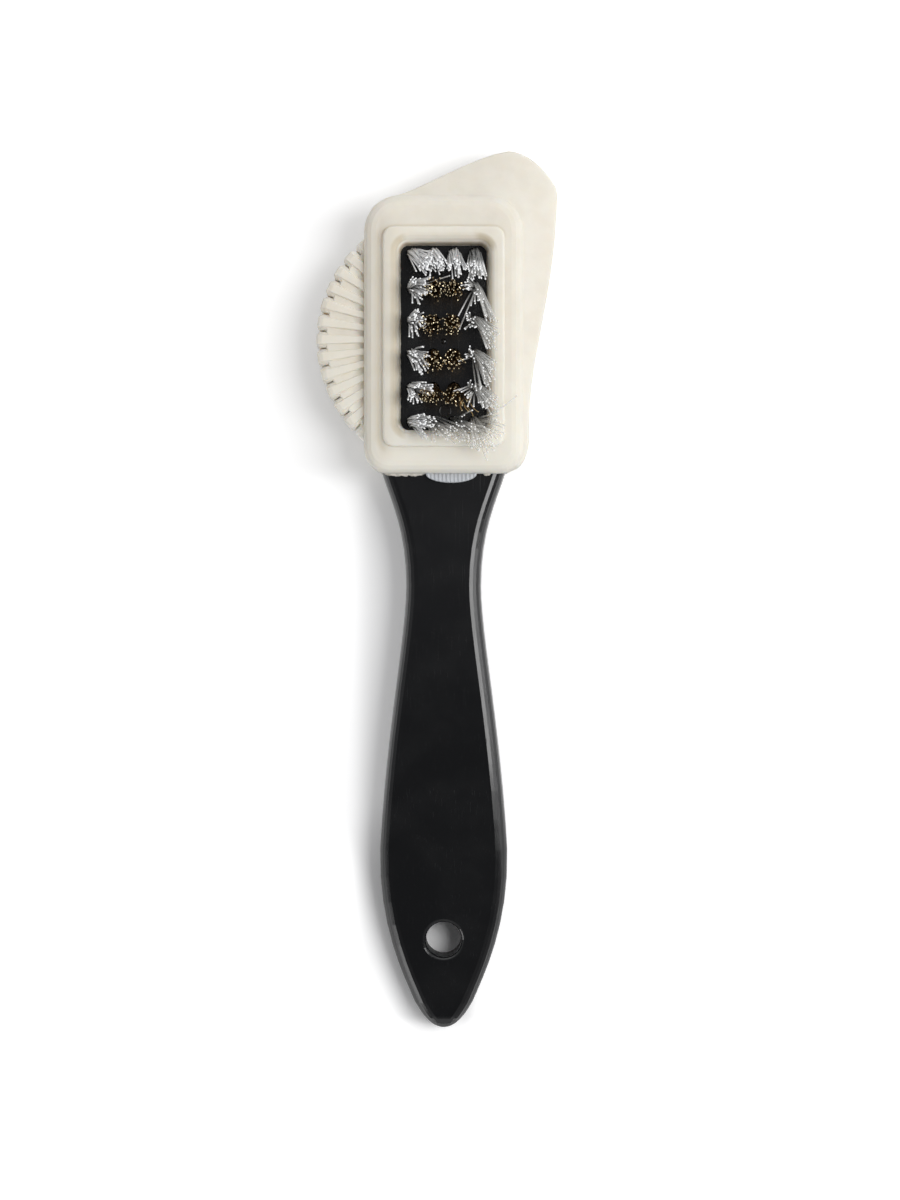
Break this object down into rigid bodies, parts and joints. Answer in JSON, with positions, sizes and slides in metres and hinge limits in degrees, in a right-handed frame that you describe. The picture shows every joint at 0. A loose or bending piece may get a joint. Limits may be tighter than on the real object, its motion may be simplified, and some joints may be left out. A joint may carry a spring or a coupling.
{
  "type": "rubber brush",
  "caption": "Flat plastic hand brush with a nylon and brass tufted head inside a stretched rubber sleeve that has a rib fan on one side and a wedge on the other.",
  "frame": {"origin": "on the resting plane, at the sleeve's flat back, under the middle of the tuft field", "axes": "+Z the way the bristles point, +Y from the handle to the far end of the head, +X from the rib fan to the wedge"},
  "size_m": [0.0438, 0.1606, 0.0198],
  "materials": {
    "handle_plastic": "black, satin faces with polished round edges",
    "sleeve_rubber": "cream, soft matt",
    "nylon_bristle": "white translucent filament with blunt cut ends",
    "brass_wire": "crimped fine wire",
    "anchor_wire": "cut flat wire"
  },
  "bodies": {
    "root": {"handle": "handle_plastic", "rubber_sleeve": "sleeve_rubber", "nylon_tuft_r1_c1": "nylon_bristle", "nylon_tuft_r1_c2": "nylon_bristle", "nylon_tuft_r1_c3": "nylon_bristle", "nylon_tuft_r1_c4": "nylon_bristle", "nylon_tuft_r2_c1": "nylon_bristle", "brass_tuft_r2_c2": "brass_wire", "brass_tuft_r2_c3": "brass_wire", "nylon_tuft_r2_c4": "nylon_bristle", "nylon_tuft_r3_c1": "nylon_bristle", "brass_tuft_r3_c2": "brass_wire", "brass_tuft_r3_c3": "brass_wire", "nylon_tuft_r3_c4": "nylon_bristle", "nylon_tuft_r4_c1": "nylon_bristle", "brass_tuft_r4_c2": "brass_wire", "brass_tuft_r4_c3": "brass_wire", "nylon_tuft_r4_c4": "nylon_bristle", "nylon_tuft_r5_c1": "nylon_bristle", "brass_tuft_r5_c2": "brass_wire", "brass_tuft_r5_c3": "brass_wire", "nylon_tuft_r5_c4": "nylon_bristle", "nylon_tuft_r6_c1": "nylon_bristle", "nylon_tuft_r6_c2": "nylon_bristle", "nylon_tuft_r6_c3": "nylon_bristle", "nylon_tuft_r6_c4": "nylon_bristle", "anchor_r1_c1": "anchor_wire", "anchor_r1_c2": "anchor_wire", "anchor_r1_c3": "anchor_wire", "anchor_r1_c4": "anchor_wire", "anchor_r2_c1": "anchor_wire", "anchor_r2_c2": "anchor_wire", "anchor_r2_c3": "anchor_wire", "anchor_r2_c4": "anchor_wire", "anchor_r3_c1": "anchor_wire", "anchor_r3_c2": "anchor_wire", "anchor_r3_c3": "anchor_wire", "anchor_r3_c4": "anchor_wire", "anchor_r4_c1": "anchor_wire", "anchor_r4_c2": "anchor_wire", "anchor_r4_c3": "anchor_wire", "anchor_r4_c4": "anchor_wire", "anchor_r5_c1": "anchor_wire", "anchor_r5_c2": "anchor_wire", "anchor_r5_c3": "anchor_wire", "anchor_r5_c4": "anchor_wire", "anchor_r6_c1": "anchor_wire", "anchor_r6_c2": "anchor_wire", "anchor_r6_c3": "anchor_wire", "anchor_r6_c4": "anchor_wire"}
  },
  "joints": []
}
